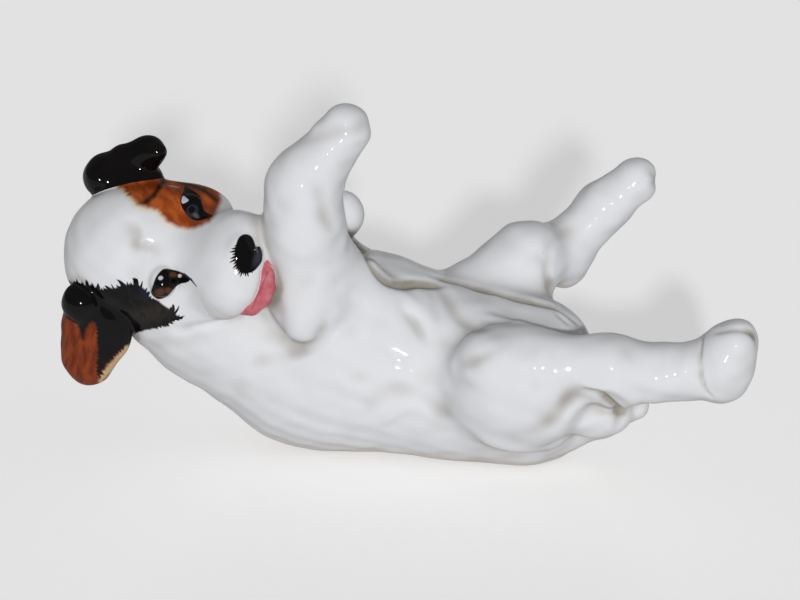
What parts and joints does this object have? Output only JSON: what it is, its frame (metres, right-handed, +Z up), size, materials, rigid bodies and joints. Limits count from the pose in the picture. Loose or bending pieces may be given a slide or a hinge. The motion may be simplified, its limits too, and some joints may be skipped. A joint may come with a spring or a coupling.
{
  "type": "dog figurine",
  "caption": "Glazed china figurine of a terrier puppy lying on its back, legs in the air and head turned to the side, with painted ears and face, resting on a flat under its back.",
  "frame": {"origin": "middle of the flat under the back, on the surface that the figurine rests on", "axes": "+X along the spine from the head to the rump, +Y to the dog's left side, +Z up out of its belly"},
  "size_m": [0.1104, 0.0504, 0.0608],
  "materials": {
    "white_china": "clear gloss glaze over white bone china",
    "black_enamel": "black-brown enamel under a gloss glaze",
    "rust_enamel": "rust-brown enamel under a gloss glaze",
    "pink_enamel": "pink enamel under a gloss glaze"
  },
  "bodies": {
    "root": {"torso": "white_china", "head": "white_china", "left_ear": "black_enamel", "right_ear": "rust_enamel", "right_foreleg": "white_china", "left_foreleg": "white_china", "right_hind_leg": "white_china", "left_hind_leg": "white_china", "tail": "white_china", "tongue": "pink_enamel"}
  },
  "joints": []
}
